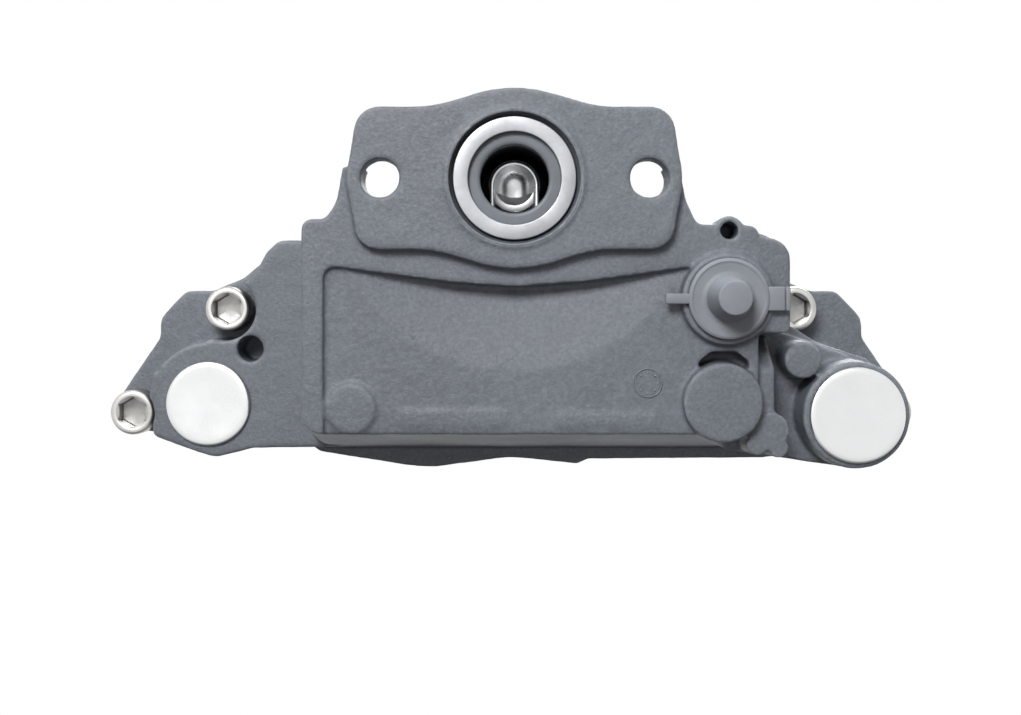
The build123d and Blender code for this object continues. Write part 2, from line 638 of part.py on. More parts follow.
def retainer_strap():
    """Strap over both pads, from the housing's rear face to the bridge beam."""
    end = BEAM_DEPTH + 26
    low = STRAP_TOP - STRAP_THICK
    profile = [(JOINT_DEPTH, 40), (JOINT_DEPTH, STRAP_TOP), (end, STRAP_TOP), (end, low)]
    profile += [(JOINT_DEPTH + STRAP_THICK, low), (JOINT_DEPTH + STRAP_THICK, 40)]
    strap = side_plate(outline(profile, [0, 4, 0, 0, 2, 0]), -STRAP_HALF, STRAP_HALF)
    return strap - upright_rod(0, RETAINER_DEPTH, RETAINER_R + 0.4, 50, 60)


def retainer_screw():
    washer_top = STRAP_TOP + 2
    body = upright_rod(0, RETAINER_DEPTH, RETAINER_R, 42, STRAP_TOP)
    body += upright_rod(0, RETAINER_DEPTH, 9.5, STRAP_TOP, washer_top)
    seat = (0, FACE_Y + RETAINER_DEPTH, DATUM_Z + washer_top)
    head = Plane(origin=seat, x_dir=(1, 0, 0), z_dir=(0, 0, 1))
    return body + extrude(head * hexagon(13), amount=5.5)


# ---- lever, crosshead and springs ---------------------------------------------------
def lever_profile():
    """The lever seen along X, in depth and height: an arm that narrows from the shaft to the cup."""
    lean = (LEVER_CUP_DEPTH + 12 - PIVOT_DEPTH, PORT_H - PIVOT_H)
    length = hypot(*lean)
    along = (lean[0] / length, lean[1] / length)
    across = (along[1], -along[0])
    stations = [(6, 11.0), (length - 20, 9.5), (length + 6, 9.5)]
    points = []
    for run, half in stations + [(run, -half) for run, half in reversed(stations)]:
        depth = PIVOT_DEPTH + run * along[0] + half * across[0]
        points.append((depth, PIVOT_H + run * along[1] + half * across[1]))
    return outline(points, [0, 10, 7, 7, 10, 0])


def operating_lever():
    arm = side_plate(lever_profile(), PORT_X - 11, PORT_X + 11)
    shaft = cross_rod(-LEVER_HALF, LEVER_HALF, PIVOT_DEPTH, PIVOT_H, LEVER_SHAFT_R)
    shaft -= box(-60, 60, PIVOT_DEPTH + ROLLER_FORWARD + 1, PIVOT_DEPTH + 20, PIVOT_H - 20, PIVOT_H + 20)
    head = rod(PORT_X, PORT_H, 12.2, LEVER_CUP_DEPTH, LEVER_CUP_DEPTH + 16)
    body = arm + shaft + head
    body -= at_depth(LEVER_CUP_DEPTH - 2.5) * Pos(PORT_X, PORT_H) * Sphere(9.6)
    reach = LEVER_HALF + 1
    return body - cross_rod(-reach, reach, PIVOT_DEPTH + ROLLER_FORWARD, PIVOT_H + ROLLER_UP, ROLLER_R + 0.05)


def eccentric_roller():
    reach = LEVER_HALF - 2
    return cross_rod(-reach, reach, PIVOT_DEPTH + ROLLER_FORWARD, PIVOT_H + ROLLER_UP, ROLLER_R)


def bearing_shells():
    shells = []
    inner = LEVER_SHAFT_R + RUN_GAP
    for side in SIDES:
        middle = side * SADDLE_X
        ring = cross_rod(middle - 10, middle + 10, PIVOT_DEPTH, PIVOT_H, inner + SHELL_THICK)
        ring -= cross_rod(middle - 11, middle + 11, PIVOT_DEPTH, PIVOT_H, inner)
        shells.append(ring & box(middle - 11, middle + 11, 30, PIVOT_DEPTH - 1, -60, 30))
    return Compound(children=shells)


def crosshead():
    """Beam that the roller pushes; it carries the gears and leaves room for the lever's arm."""
    points = [(-84, -34), (-84, 6), (-66, 12), (-40, 33), (-20, 33), (-14, 20), (14, 20), (20, 33)]
    points += [(40, 33), (66, 12), (84, 6), (84, -34)]
    body = prism(outline(points, [14, 12, 8, 6, 6, 4, 4, 6, 6, 8, 12, 14]), CROSSHEAD_DEPTH, CROSSHEAD_BACK)
    body -= box(PORT_X - 14, PORT_X + 14, CROSSHEAD_DEPTH - 1, CROSSHEAD_DEPTH + 11, PIVOT_H + 2, 40)
    for side in SIDES:
        x = side * TAPPET_X
        body -= rod(x, PIVOT_H, GEAR_SLEEVE_R + RUN_GAP, CROSSHEAD_DEPTH + 4, CROSSHEAD_BACK + 1)
        body -= rod(side * SPRING_AT[0], SPRING_AT[1], 7.6, CROSSHEAD_BACK - SPRING_SEAT, CROSSHEAD_BACK + 1)
    return body - rod(0, PIVOT_H, IDLER_PIN_R, CROSSHEAD_BACK - 5, CROSSHEAD_BACK + 1)


def idler_pin():
    pin = rod(0, PIVOT_H, IDLER_PIN_R, CROSSHEAD_BACK - 5, GEAR_DEPTH + GEAR_THICK + 1)
    return pin + rod(0, PIVOT_H, 8.0, GEAR_DEPTH + GEAR_THICK + 0.6, GEAR_DEPTH + GEAR_THICK + 3)


def return_springs():
    """Two coil springs between crosshead and cover plate; each is turns on a thin closed wall."""
    springs = []
    front = CROSSHEAD_BACK - SPRING_SEAT + 0.2
    back = COVER_DEPTH - 0.2
    turns = 7
    pitch = (back - front - 2 * SPRING_WIRE_R) / (turns - 1)
    for side in SIDES:
        x, h = side * SPRING_AT[0], SPRING_AT[1]
        spring = tube(x, h, SPRING_R + 0.3, SPRING_R - 0.3, front + SPRING_WIRE_R, back - SPRING_WIRE_R)
        for turn in range(turns):
            depth = front + SPRING_WIRE_R + turn * pitch
            spring += at_depth(depth) * Pos(x, h) * Torus(SPRING_R, SPRING_WIRE_R)
        springs.append(spring)
    return Compound(children=springs)


# ---- adjuster -----------------------------------------------------------------------
def gear_at(x, h, teeth, phase, bore, front, back):
    return prism(Pos(x, h) * gear_face(teeth, phase, bore), front, back)


def gear_sleeve(side):
    x = side * TAPPET_X
    sleeve = tube(x, PIVOT_H, GEAR_SLEEVE_R, SPINDLE_R + RUN_GAP, CROSSHEAD_DEPTH + 4.5, COVER_DEPTH + 3)
    return sleeve + gear_at(x, PIVOT_H, GEAR_TEETH, 0, SPINDLE_R + 3, GEAR_DEPTH, GEAR_DEPTH + GEAR_THICK)


def idler_gear():
    half_pitch = 180 / GEAR_TEETH
    bore = IDLER_PIN_R + RUN_GAP
    return gear_at(0, PIVOT_H, GEAR_TEETH, half_pitch, bore, GEAR_DEPTH, GEAR_DEPTH + GEAR_THICK)


def pinion_phase():
    """Turns the pinion so that a gap meets the gear's tooth on the line between their centres."""
    bearing = degrees(atan2(STEM_H - PIVOT_H, STEM_X - TAPPET_X))
    gear_pitch = 360 / GEAR_TEETH
    pinion_pitch = 360 / PINION_TEETH
    return bearing + 180 - pinion_pitch * (0.5 - bearing / gear_pitch)


def adjuster_stem():
    """Splined stem: hexagon end under the cap, and a pinion long enough for the crosshead's travel."""
    stem = rod(STEM_X, STEM_H, STEM_R, 14, GEAR_DEPTH + GEAR_THICK + 12)
    stem += extrude(at_depth(15) * Pos(STEM_X, STEM_H) * hexagon(9.6), amount=11)
    pinion_end = GEAR_DEPTH + GEAR_THICK + 4
    pinion = gear_at(STEM_X, STEM_H, PINION_TEETH, pinion_phase(), STEM_R - 1, GEAR_DEPTH - 1, pinion_end)
    return stem + pinion


def stem_bush():
    return tube(STEM_X, STEM_H, STEM_BUSH_R, STEM_R + RUN_GAP, 24, 84)


def stem_bearing():
    """Plate bearing behind the pinion, pressed in the cavity wall."""
    back = GEAR_DEPTH + GEAR_THICK
    return tube(STEM_X, STEM_H, STEM_BEARING_R, STEM_R + RUN_GAP, back + 6, back + 12)


def adjuster_cap():
    """Rubber cap: thin rim, round knob and two pull tabs."""
    cap = rod(STEM_X, STEM_H, CAP_DISC_R, 0.5, 3.5)
    cap += cone(STEM_X, STEM_H, 16.6, 16.0, 3.5, 20.4)
    cap += cone(STEM_X, STEM_H, 8.4, 11.6, -17, 0.5)
    cap += box(STEM_X - 28.5, STEM_X - 17, 0.9, 3.7, STEM_H - 2.4, STEM_H + 2.2)
    cap += box(STEM_X + 17, STEM_X + 27.4, 1.2, 3.4, STEM_H - 5.4, STEM_H + 5.4)
    cap -= rod(STEM_X, STEM_H, 8.0, -1, 24)
    cap -= cone(STEM_X, STEM_H, 5.6, 8.0, -13, -1)
    return cap - rod(STEM_X, STEM_H, 13.5, 6, 24)


# ---- tappets and cover --------------------------------------------------------------
def tappet(side):
    x = side * TAPPET_X
    face = CARRIER_DEPTH - TAPPET_GAP
    body = rod(x, PIVOT_H, SPINDLE_R, CROSSHEAD_DEPTH + 5, TAPPET_HEAD_DEPTH + 1)
    body += rod(x, PIVOT_H, TAPPET_HEAD_R, TAPPET_HEAD_DEPTH, face - 1.2)
    return body + cone(x, PIVOT_H, TAPPET_HEAD_R, TAPPET_HEAD_R - 1.2, face - 1.2, face)


def tappet_boot(side):
    """Rubber bellows between the cover plate and the tappet head, folded flat at rest."""
    x = side * TAPPET_X
    front = COVER_DEPTH + COVER_THICK + 0.1
    boot = tube(x, PIVOT_H, BOOT_R, 18.2, front, front + 1.4)
    boot += tube(x, PIVOT_H, BOOT_R, 21.0, front + 1.4, front + 2.6)
    boot += tube(x, PIVOT_H, BOOT_R, 15.5, front + 2.6, front + 4.0)
    return boot + tube(x, PIVOT_H, 17.5, 15.5, front + 4.0, front + 5.2)


def cover_plate():
    points = [(-97.4, -51.4), (-97.4, 25.4), (-32, 39.3), (32, 39.3), (97.4, 25.4), (97.4, -51.4)]
    plate = prism(outline(points, [19.6, 17.6, 8, 8, 17.6, 19.6]), COVER_DEPTH, COVER_DEPTH + COVER_THICK)
    for side in SIDES:
        plate -= rod(side * TAPPET_X, PIVOT_H, 17.6, COVER_DEPTH - 1, COVER_DEPTH + COVER_THICK + 1)
    for x, h in cover_screws_at():
        plate -= rod(x, h, 3.2, COVER_DEPTH - 1, COVER_DEPTH + COVER_THICK + 1)
    return plate


def cover_screws():
    back = COVER_DEPTH + COVER_THICK
    screws = []
    for x, h in cover_screws_at():
        screw = rod(x, h, COVER_SCREW_R, COVER_DEPTH - 8, back) + rod(x, h, 5.0, back, back + 4)
        socket = extrude(at_depth(back + 4.5) * Pos(x, h) * hexagon(4), amount=2.5)
        screws.append(screw - socket)
    return Compound(children=screws)


# ---- writing ------------------------------------------------------------------------
def write(name, shape):
    export_step(shape, f"parts/{name}.step")


def main():
    os.makedirs("parts", exist_ok=True)
    seat, inner = port_rings()
    write("housing", housing())
    write("port_seat_ring", seat)
    write("port_inner_ring", inner)
    write("end_cap_long", end_cap(1, LONG_BOSS_DEPTH - CAP_THICK))
    write("end_cap_short", end_cap(-1, SHORT_LUG_DEPTH - CAP_THICK))
    write("guide_sleeve_long", guide_sleeve(1, LONG_SLEEVE_DEPTH))
    write("guide_sleeve_short", guide_sleeve(-1, SHORT_SLEEVE_DEPTH))
    write("sleeve_bolts", sleeve_bolts())
    write("long_guide_bushes", long_bushes())
    write("short_guide_bush", short_bush())
    write("bridge_bolts", bridge_bolts())
    write("bridge", bridge())
    write("carrier", carrier())
    write("inner_backing_plate", backing_plate(CARRIER_DEPTH))
    write("inner_friction_block", friction_block(CARRIER_DEPTH + BACKPLATE))
    write("inner_pad_spring", pad_spring(CARRIER_DEPTH, CARRIER_DEPTH - 2, CARRIER_DEPTH + BACKPLATE + 2.5))
    write("outer_backing_plate", backing_plate(OUTER_PAD_BACK - BACKPLATE))
    write("outer_friction_block", friction_block(OUTER_PAD_BACK - BACKPLATE - FRICTION))
    plate_front = OUTER_PAD_BACK - BACKPLATE
    write("outer_pad_spring", pad_spring(plate_front, plate_front - 4, OUTER_PAD_BACK + 0.4))
    write("pad_retainer_strap", retainer_strap())
    write("pad_retainer_screw", retainer_screw())
    write("operating_lever", operating_lever())
    write("eccentric_roller", eccentric_roller())
    write("bearing_shells", bearing_shells())
    write("crosshead", crosshead())
    write("idler_pin", idler_pin())
    write("idler_gear", idler_gear())
    write("return_springs", return_springs())
    write("adjuster_stem", adjuster_stem())
    write("stem_bush", stem_bush())
    write("stem_bearing", stem_bearing())
    write("adjuster_cap", adjuster_cap())
    write("cover_plate", cover_plate())
    write("cover_screws", cover_screws())
    for side, word in ((-1, "left"), (1, "right")):
        write(f"pin_seal_{word}", pin_seal(side))
        write(f"gear_sleeve_{word}", gear_sleeve(side))
        write(f"tappet_{word}", tappet(side))
        write(f"tappet_boot_{word}", tappet_boot(side))


main()
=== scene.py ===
"""Looks of a heavy-vehicle air disc brake caliper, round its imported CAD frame. Lengths are in metres."""

import json
import math

import bmesh
import bpy
from mathutils import Matrix, Vector


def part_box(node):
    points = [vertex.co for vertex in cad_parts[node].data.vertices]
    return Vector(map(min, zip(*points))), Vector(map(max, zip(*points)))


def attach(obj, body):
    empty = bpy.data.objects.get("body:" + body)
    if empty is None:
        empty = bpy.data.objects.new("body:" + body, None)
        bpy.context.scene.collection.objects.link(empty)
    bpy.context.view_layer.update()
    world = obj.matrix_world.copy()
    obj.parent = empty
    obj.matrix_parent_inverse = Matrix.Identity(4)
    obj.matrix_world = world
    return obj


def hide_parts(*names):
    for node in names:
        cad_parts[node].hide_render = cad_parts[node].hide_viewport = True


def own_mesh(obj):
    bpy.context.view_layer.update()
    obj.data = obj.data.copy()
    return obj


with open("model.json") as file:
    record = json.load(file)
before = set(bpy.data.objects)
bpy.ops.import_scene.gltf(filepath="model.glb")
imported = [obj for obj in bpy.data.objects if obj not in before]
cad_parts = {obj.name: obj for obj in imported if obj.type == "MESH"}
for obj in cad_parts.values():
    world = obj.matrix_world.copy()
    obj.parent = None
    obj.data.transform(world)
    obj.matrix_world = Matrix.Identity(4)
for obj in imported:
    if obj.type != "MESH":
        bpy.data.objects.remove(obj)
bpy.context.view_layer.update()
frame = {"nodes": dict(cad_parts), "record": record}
MM = 0.001
NODES = frame["nodes"]


# ---- camera and light -----------------------------------------------------------------
IMAGE_W = 1021
FOCAL_PX = 1388.0                     # focal length, in pixels of a picture IMAGE_W wide
HORIZON_UP_PX = 35.5                  # how far the camera's level line is above the middle
CENTRE_SHIFT_PX = 0.5                 # how far the camera's axis is beside the middle
CAMERA_BACK = 0.620                   # in front of the actuator flange
CAMERA_HEIGHT = 0.070
SENSOR = 36.0
GROUND_DARK_AT = -0.85                # height of a view direction, from -1 straight down
GROUND_WHITE_AT = -0.32
GROUND_LEVEL = 0.25
KEY_POWER = 25                        # each lamp's power, in watts
TOP_POWER = 22
FRONT_POWER = 5
BELOW_POWER = 3.5
BACK_POWER = 30
PORT_LIP_HEIGHT = 1.2 * MM            # the port's lip, in front of the flange's face


def flange_face_y():
    """The flange's machined face, just behind the housing's foremost point."""
    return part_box("housing")[0][1] + PORT_LIP_HEIGHT


def add_camera():
    data = bpy.data.cameras.new("camera")
    data.sensor_width = SENSOR
    data.lens = SENSOR * FOCAL_PX / IMAGE_W
    data.shift_x = -CENTRE_SHIFT_PX / IMAGE_W
    data.shift_y = -HORIZON_UP_PX / IMAGE_W
    data.clip_start = 0.01
    camera = bpy.data.objects.new("camera", data)
    camera.location = (0, flange_face_y() - CAMERA_BACK, CAMERA_HEIGHT)
    camera.rotation_euler = (math.radians(90), 0, 0)
    bpy.context.collection.objects.link(camera)
    bpy.context.scene.camera = camera


def add_area(name, place, aim, size, power, mirrored):
    """Soft round light; mirrored says whether shiny surfaces show it."""
    data = bpy.data.lights.new(name, "AREA")
    data.shape = "DISK"
    data.size = size
    data.energy = power
    light = bpy.data.objects.new(name, data)
    light.location = place
    light.rotation_euler = (Vector(aim) - Vector(place)).to_track_quat("-Z", "Y").to_euler()
    light.visible_glossy = mirrored
    bpy.context.collection.objects.link(light)


def add_world():
    """Plain white round the camera's level and darker towards the ground; only gloss reflects it."""
    world = bpy.data.worlds.new("studio")
    bpy.context.scene.world = world
    world.use_nodes = True
    nodes = world.node_tree.nodes
    links = world.node_tree.links
    place = nodes.new("ShaderNodeTexCoord")
    split = nodes.new("ShaderNodeSeparateXYZ")
    ramp = nodes.new("ShaderNodeMapRange")
    ramp.inputs["From Min"].default_value = GROUND_DARK_AT
    ramp.inputs["From Max"].default_value = GROUND_WHITE_AT
    ramp.inputs["To Min"].default_value = GROUND_LEVEL
    ramp.inputs["To Max"].default_value = 1.0
    links.new(place.outputs["Generated"], split.inputs["Vector"])
    links.new(split.outputs["Z"], ramp.inputs["Value"])
    links.new(ramp.outputs["Result"], nodes["Background"].inputs["Color"])
    nodes["Background"].inputs["Strength"].default_value = 1.0
    world.cycles_visibility.diffuse = False


def add_lights():
    target = (0, -0.12, 0.06)
    add_area("key", (-0.38, -1.50, 0.88), target, 0.6, KEY_POWER, True)
    add_area("top", (0.1, -0.2, 1.7), target, 0.9, TOP_POWER, False)
    add_area("front", (-0.9, -2.6, 0.4), target, 2.4, FRONT_POWER, False)
    add_area("below", (0.3, -1.6, -0.9), target, 1.6, BELOW_POWER, False)
    add_area("back", (0.6, 2.2, 1.4), target, 1.6, BACK_POWER, True)


# ---- materials ------------------------------------------------------------------------
CORNER_SAMPLES = 6
PAINT_CORNER = 0.009                  # how far painted shade reaches into a corner, on the paint and on the steel
STEEL_CORNER = 0.012
# near-black colour of the painted shade in the steel's corners
STEEL_SHADE_COLOUR = (0.05, 0.05, 0.052)


def tint(colour, factor):
    return tuple(factor * part for part in colour)


class Shader:
    """A small builder for one node material."""

    def __init__(self, name):
        self.material = bpy.data.materials.new(name)
        self.material.use_nodes = True
        self.tree = self.material.node_tree
        self.principled = self.tree.nodes["Principled BSDF"]
        self.place = self.tree.nodes.new("ShaderNodeTexCoord").outputs["Object"]

    def set(self, **values):
        for key, value in values.items():
            socket = self.principled.inputs[key.replace("_", " ")]
            socket.default_value = (*value, 1) if isinstance(value, tuple) else value

    def node(self, kind, **inputs):
        made = self.tree.nodes.new(kind)
        for key, value in inputs.items():
            socket = made.inputs[key.replace("_", " ")]
            if isinstance(value, bpy.types.NodeSocket):
                self.tree.links.new(value, socket)
            else:
                socket.default_value = value
        return made

    def noise(self, scale, detail=4.0, rough=0.6):
        made = self.node("ShaderNodeTexNoise", Vector=self.place)
        made.inputs["Scale"].default_value = scale
        made.inputs["Detail"].default_value = detail
        made.inputs["Roughness"].default_value = rough
        return made.outputs["Fac"]

    def openness(self, distance):
        """1 in the open and 0 deep in a corner."""
        made = self.node("ShaderNodeAmbientOcclusion")
        made.samples = CORNER_SAMPLES
        made.inputs["Distance"].default_value = distance
        return made.outputs["AO"]

    def ramp(self, fac, low, high, low_colour, high_colour):
        made = self.tree.nodes.new("ShaderNodeValToRGB")
        self.tree.links.new(fac, made.inputs["Fac"])
        made.color_ramp.elements[0].position = low
        made.color_ramp.elements[1].position = high
        made.color_ramp.elements[0].color = (*low_colour, 1)
        made.color_ramp.elements[1].color = (*high_colour, 1)
        return made.outputs["Color"]

    def span(self, fac, low, high, to_low, to_high):
        made = self.node("ShaderNodeMapRange", Value=fac)
        made.inputs["From Min"].default_value = low
        made.inputs["From Max"].default_value = high
        made.inputs["To Min"].default_value = to_low
        made.inputs["To Max"].default_value = to_high
        return made.outputs["Result"]

    def mix(self, fac, first, second):
        made = self.tree.nodes.new("ShaderNodeMix")
        made.data_type = "RGBA"
        for socket, value in ((made.inputs[0], fac), (made.inputs[6], first), (made.inputs[7], second)):
            if isinstance(value, bpy.types.NodeSocket):
                self.tree.links.new(value, socket)
            else:
                socket.default_value = (*value, 1) if isinstance(value, tuple) else value
        return made.outputs[2]

    def math(self, operation, first, second=0.0):
        made = self.tree.nodes.new("ShaderNodeMath")
        made.operation = operation
        for socket, value in zip(made.inputs, (first, second)):
            if isinstance(value, bpy.types.NodeSocket):
                self.tree.links.new(value, socket)
            else:
                socket.default_value = value
        return made.outputs[0]

    def bump(self, height, strength, distance, normal=None):
        made = self.node("ShaderNodeBump", Height=height)
        made.inputs["Strength"].default_value = strength
        made.inputs["Distance"].default_value = distance
        if normal is not None:
            self.tree.links.new(normal, made.inputs["Normal"])
        return made.outputs["Normal"]

    def feed(self, **sockets):
        for key, socket in sockets.items():
            self.tree.links.new(socket, self.principled.inputs[key.replace("_", " ")])


def cast_paint(name, colour, worn):
    """Satin paint over a sand casting: fine grain, slow colour drift, lighter worn edges, and painted shade
    that darkens its corners.
    """
    shader = Shader(name)
    drift = shader.noise(14, 5, 0.6)
    speckle = shader.noise(520, 5, 0.75)
    base = shader.ramp(drift, 0.3, 0.72, tint(colour, 0.86), tint(colour, 1.12))
    base = shader.mix(shader.span(speckle, 0.5, 0.72, 0.0, 0.5), base, tint(colour, 1.75))
    base = shader.mix(shader.span(speckle, 0.5, 0.3, 0.0, 0.5), base, tint(colour, 0.6))
    # painted shade: the paint darkens towards 30 % of its colour in corners and recesses, where shade falls
    paint_corner_shade = shader.span(shader.openness(PAINT_CORNER), 0.2, 0.75, 0.6, 0.0)
    base = shader.mix(paint_corner_shade, base, tint(colour, 0.30))
    pointed = shader.node("ShaderNodeNewGeometry").outputs["Pointiness"]
    edge = shader.span(pointed, 0.515, 0.56, 0.0, 1.0)
    patchy = shader.span(shader.noise(120), 0.4, 0.65, 0.2, 0.7)
    base = shader.mix(shader.math("MULTIPLY", edge, patchy), base, worn)
    grain = shader.noise(620, 6, 0.72)
    lumps = shader.noise(150, 3, 0.5)
    normal = shader.bump(lumps, 0.30, 0.0012)
    normal = shader.bump(grain, 0.65, 0.0005, normal)
    shader.set(Metallic=0.0, Specular_IOR_Level=0.5)
    shader.feed(Base_Color=base, Normal=normal, Roughness=shader.span(drift, 0.3, 0.7, 0.42, 0.54))
    return shader.material


def steel(name, colour, rough, stain=0.25, corner_shade=0.85):
    """Bare or plated steel: slow clouding, fine marks, and painted shade that darkens its corners towards
    near black.
    """
    shader = Shader(name)
    cloud = shader.noise(55, 5, 0.6)
    base = shader.ramp(cloud, 0.35, 0.7, colour, tint(colour, 1 - stain))
    # painted shade: the steel darkens towards near black in its corners and recesses, where shade falls
    steel_corner_shade = shader.span(shader.openness(STEEL_CORNER), 0.2, 0.8, corner_shade, 0.0)
    base = shader.mix(steel_corner_shade, base, STEEL_SHADE_COLOUR)
    marks = shader.noise(900, 4, 0.6)
    shader.set(Metallic=1.0)
    shader.feed(
        Base_Color=base,
        Roughness=shader.span(cloud, 0.3, 0.75, rough, rough + 0.16),
        Normal=shader.bump(marks, 0.18, 0.00012),
    )
    return shader.material


def rubber(name, colour, rough=0.6):
    """Matt rubber with a faint bloom."""
    shader = Shader(name)
    bloom = shader.noise(60, 4, 0.6)
    grain = shader.noise(1400, 3, 0.6)
    base = shader.ramp(bloom, 0.3, 0.75, tint(colour, 0.9), tint(colour, 1.15))
    shader.set(Specular_IOR_Level=0.4)
    shader.feed(
        Base_Color=base,
        Roughness=shader.span(bloom, 0.3, 0.7, rough - 0.06, rough + 0.1),
        Normal=shader.bump(grain, 0.25, 0.0001),
    )
    return shader.material


def lining():
    """Moulded friction compound with light and metallic flecks."""
    shader = Shader("friction_compound")
    body = shader.noise(320, 6, 0.75)
    base = shader.ramp(body, 0.35, 0.7, (0.045, 0.042, 0.04), (0.15, 0.135, 0.12))
    flecks = shader.node("ShaderNodeTexVoronoi", Vector=shader.place)
    flecks.inputs["Scale"].default_value = 700
    chip = shader.span(flecks.outputs["Distance"], 0.0, 0.22, 1.0, 0.0)
    base = shader.mix(shader.math("MULTIPLY", chip, 0.55), base, (0.42, 0.36, 0.26))
    shader.feed(
        Base_Color=base,
        Normal=shader.bump(body, 0.6, 0.0006),
        Roughness=shader.span(body, 0.3, 0.7, 0.7, 0.95),
    )
    return shader.material


def satin_paint(name, colour):
    """Smooth paint on plate, with a slight orange peel."""
    shader = Shader(name)
    drift = shader.noise(40, 4, 0.6)
    base = shader.ramp(drift, 0.3, 0.7, tint(colour, 0.85), tint(colour, 1.25))
    normal = shader.bump(shader.noise(700, 4, 0.6), 0.25, 0.0002)
    shader.feed(Base_Color=base, Roughness=shader.span(drift, 0.3, 0.7, 0.38, 0.55), Normal=normal)
    return shader.material


def all_materials():
    return {
        "cast_paint": cast_paint("cast_paint_blue_grey", (0.130, 0.145, 0.168), (0.34, 0.36, 0.39)),
        "carrier_paint": cast_paint("cast_paint_carrier", (0.118, 0.132, 0.154), (0.34, 0.36, 0.39)),
        "machined_steel": steel("machined_steel", (0.36, 0.37, 0.385), 0.34, stain=0.35),
        "grey_shield": satin_paint("grey_shield_paint", (0.13, 0.145, 0.165)),
        "polished_cap": steel("polished_cap_steel", (0.80, 0.805, 0.81), 0.22, stain=0.1),
        "zinc_bolt": steel("zinc_plate", (0.70, 0.69, 0.66), 0.26, stain=0.35),
        "brass": steel("brass_bush", (0.72, 0.53, 0.26), 0.3),
        "black_rubber": rubber("black_rubber", (0.022, 0.022, 0.024)),
        "grey_rubber": rubber("grey_cap_rubber", (0.225, 0.242, 0.268), 0.5),
        "forged_steel": steel("forged_steel", (0.50, 0.50, 0.51), 0.34),
        # the polished cup gets only a little painted shade in its corners
        "bearing_steel": steel("bearing_steel", (0.88, 0.885, 0.89), 0.24, corner_shade=0.1),
        "gear_steel": steel("gear_steel", (0.52, 0.52, 0.53), 0.3),
        "spring_steel": steel("spring_steel", (0.50, 0.51, 0.54), 0.3),
        "plated_plate": steel("plated_plate", (0.60, 0.60, 0.57), 0.32),
        "backing_paint": satin_paint("backing_plate_paint", (0.035, 0.036, 0.040)),
        "friction_lining": lining(),
    }


SLOT_OF = {row["node"]: row["material_slot"] for row in frame["record"]["subparts"]}
BODY_OF = {node: body for body, nodes in frame["record"]["behaviour"]["bodies"].items() for node in nodes}
MATERIALS = all_materials()


# ---- mesh helpers ---------------------------------------------------------------------
SAME_POINT = 2e-6                     # vertices nearer than this are one
FLAT_ANGLE = 0.6                      # degrees between faces that count as one flat face
BEVEL_SEGMENTS = 2
BEVEL_FROM_ANGLE = 32                 # edges sharper than this many degrees are broken
BEVEL_SHADE_ANGLE = 38
CAST_UNEVEN_SIZE = 0.011              # width of a casting's lumps, and how far they stand out
CAST_UNEVEN_HEIGHT = 0.45 * MM
FILLET_STEPS = 4
BLOCK_SEGMENTS = 3


def finish_piece(obj, *nodes):
    """Puts a piece on the body of the nodes it replaces, with their finish."""
    slot = SLOT_OF[nodes[0]]
    obj.data.materials.clear()
    obj.data.materials.append(MATERIALS[slot])
    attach(obj, BODY_OF[nodes[0]])
    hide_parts(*nodes)
    return obj


def extra_piece(obj, body, slot):
    """A detail that no CAD node has on its own, such as a cast mark."""
    obj.data.materials.clear()
    obj.data.materials.append(MATERIALS[slot])
    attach(obj, body)
    return obj


def new_object(name, mesh):
    obj = bpy.data.objects.new(name, mesh)
    bpy.context.collection.objects.link(obj)
    return obj


def baked(obj, name):
    """A new object with all of obj's modifiers applied; obj is removed."""
    graph = bpy.context.evaluated_depsgraph_get()
    mesh = bpy.data.meshes.new_from_object(obj.evaluated_get(graph))
    mesh.name = name
    bpy.data.objects.remove(obj)
    return new_object(name, mesh)


def shade_by_angle(obj, degrees):
    """Smooth shading that breaks at edges sharper than an angle."""
    mesh = obj.data
    mesh.polygons.foreach_set("use_smooth", [True] * len(mesh.polygons))
    made = bmesh.new()
    made.from_mesh(mesh)
    limit = math.radians(degrees)
    for edge in made.edges:
        edge.smooth = len(edge.link_faces) != 2 or edge.calc_face_angle(0) < limit
    made.to_mesh(mesh)
    made.free()


def node_copy(node):
    mesh = NODES[node].data.copy()
    return new_object(f"{node}_copy", mesh)


def triangle_count(obj):
    return sum(len(face.vertices) - 2 for face in obj.data.polygons)


def cast_copy(node, name, voxel, smoothing, most_triangles):
    """A casting from a CAD node: rounded everywhere, slightly uneven, and light enough to export."""
    work = node_copy(node)
    remesh = work.modifiers.new("skin", "REMESH")
    remesh.mode = "VOXEL"
    remesh.voxel_size = voxel
    remesh.use_smooth_shade = True
    smooth = work.modifiers.new("fillets", "SMOOTH")
    smooth.factor = 0.5
    smooth.iterations = smoothing
    clouds = bpy.data.textures.new(f"{name}_unevenness", "CLOUDS")
    clouds.noise_scale = CAST_UNEVEN_SIZE
    clouds.noise_depth = 2
    uneven = work.modifiers.new("uneven", "DISPLACE")
    uneven.texture = clouds
    uneven.texture_coords = "LOCAL"
    uneven.strength = CAST_UNEVEN_HEIGHT
    uneven.mid_level = 0.5
    piece = baked(work, name)
    count = triangle_count(piece)
    if count > most_triangles:
        lighter = piece.modifiers.new("lighter", "DECIMATE")
        lighter.ratio = most_triangles / count
        piece = baked(piece, name)
    piece.data.polygons.foreach_set("use_smooth", [True] * len(piece.data.polygons))
    return finish_piece(piece, node)


